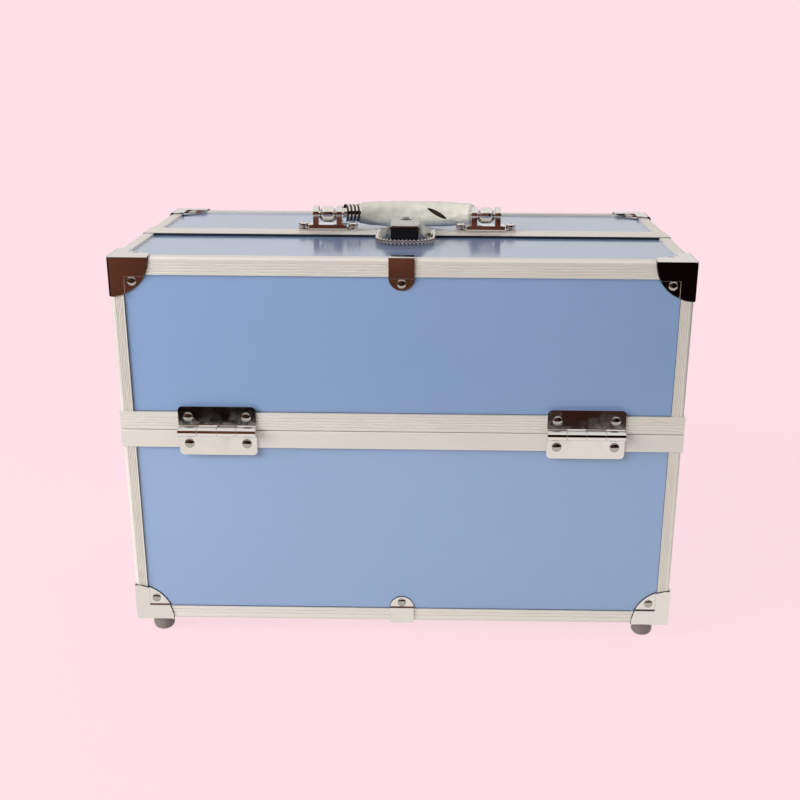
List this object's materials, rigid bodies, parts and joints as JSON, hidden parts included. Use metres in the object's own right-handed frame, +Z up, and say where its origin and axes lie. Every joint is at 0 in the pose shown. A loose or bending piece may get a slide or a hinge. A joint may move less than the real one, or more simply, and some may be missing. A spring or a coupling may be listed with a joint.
{
  "type": "make-up train case",
  "caption": "Aluminium-edged make-up case with two lids that part along the top, stepped trays inside, a folding handle and a top lock.",
  "frame": {"origin": "on the surface the feet stand on, under the middle of the case", "axes": "+X to the case's right seen from the front, -Y towards the front, +Z up"},
  "size_m": [0.362, 0.215, 0.275],
  "materials": {
    "blue_laminate": "glossy periwinkle blue laminate on board, seen on the box's outer faces",
    "aluminium": "satin anodised extrusion, warm silver",
    "chrome": "bright nickel-chrome plate",
    "bright_steel": "bright zinc-plated steel",
    "dark_rubber": "dark grey moulded rubber",
    "black_plastic": "black moulded plastic with a fine texture",
    "lining_felt": "short black flocked lining",
    "tray_plastic": "black moulded plastic, satin",
    "grip_film": "pale grip in its clear wrinkled film"
  },
  "bodies": {
    "base": {"base_bottom_panel": "blue_laminate", "base_front_panel": "blue_laminate", "base_rear_panel": "blue_laminate", "base_side_panels": "blue_laminate", "base_liner": "lining_felt", "base_rim_frame": "aluminium", "base_bottom_edges": "aluminium", "base_corner_posts": "aluminium", "base_corner_fittings": "chrome", "base_rivets": "chrome", "base_hinge_leaves": "chrome", "hinge_pins": "bright_steel", "rubber_feet": "dark_rubber", "foot_screws": "bright_steel", "tray_arm_studs": "bright_steel"},
    "front_lid": {"front_lid_top_panel": "blue_laminate", "front_lid_face_panel": "blue_laminate", "front_lid_side_panels": "blue_laminate", "front_lid_liner": "lining_felt", "front_lid_rim_frame": "aluminium", "front_lid_parting_strip": "aluminium", "front_lid_top_edges": "aluminium", "front_lid_corner_posts": "aluminium", "front_lid_corner_fittings": "chrome", "front_lid_hinge_leaves": "chrome", "front_lid_rivets": "chrome", "front_lid_tray_studs": "bright_steel", "lock_plate": "chrome", "lock_hood": "chrome"},
    "rear_lid": {"rear_lid_top_panel": "blue_laminate", "rear_lid_face_panel": "blue_laminate", "rear_lid_side_panels": "blue_laminate", "rear_lid_liner": "lining_felt", "rear_lid_rim_frame": "aluminium", "rear_lid_parting_strip": "aluminium", "rear_lid_top_edges": "aluminium", "rear_lid_corner_posts": "aluminium", "rear_lid_corner_fittings": "chrome", "rear_lid_hinge_leaves": "chrome", "rear_lid_rivets": "chrome", "rear_lid_tray_studs": "bright_steel", "lock_keeper": "chrome", "handle_brackets": "chrome", "handle_bracket_screws": "bright_steel", "handle_pins": "bright_steel"},
    "handle": {"handle_side_arms": "chrome", "handle_grip": "grip_film"},
    "front_arms": {"front_tray_arms": "bright_steel"},
    "rear_arms": {"rear_tray_arms": "bright_steel"},
    "front_lower_tray": {"front_lower_tray": "tray_plastic"},
    "front_upper_tray": {"front_upper_tray": "tray_plastic", "front_upper_tray_dividers": "tray_plastic"},
    "rear_lower_tray": {"rear_lower_tray": "tray_plastic"},
    "rear_upper_tray": {"rear_upper_tray": "tray_plastic", "rear_upper_tray_dividers": "tray_plastic"},
    "lock_button": {"lock_button": "black_plastic"},
    "key_cylinder": {"key_cylinder": "chrome"},
    "lock_bolt": {"lock_bolt": "bright_steel"}
  },
  "joints": [
    {"name": "front_lid_hinge", "type": "hinge", "parent": "base", "child": "front_lid", "pos_m": [0, -0.1042, 0.147], "axis": [1, 0, 0], "range_deg": [0, 90]},
    {"name": "front_arm_pivot", "type": "hinge", "parent": "base", "child": "front_arms", "pos_m": [0, -0.0782, 0.1435], "axis": [1, 0, 0], "range_deg": [0, 90]},
    {"name": "front_lower_tray_pivot", "type": "hinge", "parent": "front_lid", "child": "front_lower_tray", "pos_m": [0, -0.0719, 0.1745], "axis": [1, 0, 0], "range_deg": [-90, 0]},
    {"name": "front_upper_tray_pivot", "type": "hinge", "parent": "front_lid", "child": "front_upper_tray", "pos_m": [0, -0.0427, 0.1994], "axis": [1, 0, 0], "range_deg": [-90, 0]},
    {"name": "rear_lid_hinge", "type": "hinge", "parent": "base", "child": "rear_lid", "pos_m": [0, 0.1042, 0.147], "axis": [-1, 0, 0], "range_deg": [0, 90]},
    {"name": "rear_arm_pivot", "type": "hinge", "parent": "base", "child": "rear_arms", "pos_m": [0, 0.0782, 0.1435], "axis": [-1, 0, 0], "range_deg": [0, 90]},
    {"name": "rear_lower_tray_pivot", "type": "hinge", "parent": "rear_lid", "child": "rear_lower_tray", "pos_m": [0, 0.0719, 0.1745], "axis": [-1, 0, 0], "range_deg": [-90, 0]},
    {"name": "rear_upper_tray_pivot", "type": "hinge", "parent": "rear_lid", "child": "rear_upper_tray", "pos_m": [0, 0.0427, 0.1994], "axis": [-1, 0, 0], "range_deg": [-90, 0]},
    {"name": "handle_pivot", "type": "hinge", "parent": "rear_lid", "child": "handle", "pos_m": [0, 0.008, 0.2695], "axis": [1, 0, 0], "range_deg": [0, 95]},
    {"name": "key_turn", "type": "hinge", "parent": "front_lid", "child": "key_cylinder", "pos_m": [0, -0.012, 0.266], "axis": [0, 0, 1], "range_deg": [0, 90]},
    {"name": "bolt_slide", "type": "slide", "parent": "front_lid", "child": "lock_bolt", "axis": [0, 1, 0], "range_m": [0, 0.007]},
    {"name": "button_press", "type": "slide", "parent": "front_lid", "child": "lock_button", "axis": [0, 1, 0], "range_m": [0, 0.003], "stiffness_N_per_m": 300, "springref_m": -0.003}
  ],
  "couplings": [
    {"joint": "front_arm_pivot", "follows": "front_lid_hinge", "ratio": 1},
    {"joint": "front_lower_tray_pivot", "follows": "front_lid_hinge", "ratio": -1},
    {"joint": "front_upper_tray_pivot", "follows": "front_lid_hinge", "ratio": -1},
    {"joint": "rear_arm_pivot", "follows": "rear_lid_hinge", "ratio": 1},
    {"joint": "rear_lower_tray_pivot", "follows": "rear_lid_hinge", "ratio": -1},
    {"joint": "rear_upper_tray_pivot", "follows": "rear_lid_hinge", "ratio": -1},
    {"joint": "key_turn", "follows": "bolt_slide", "rad_per_m": 224.4}
  ]
}
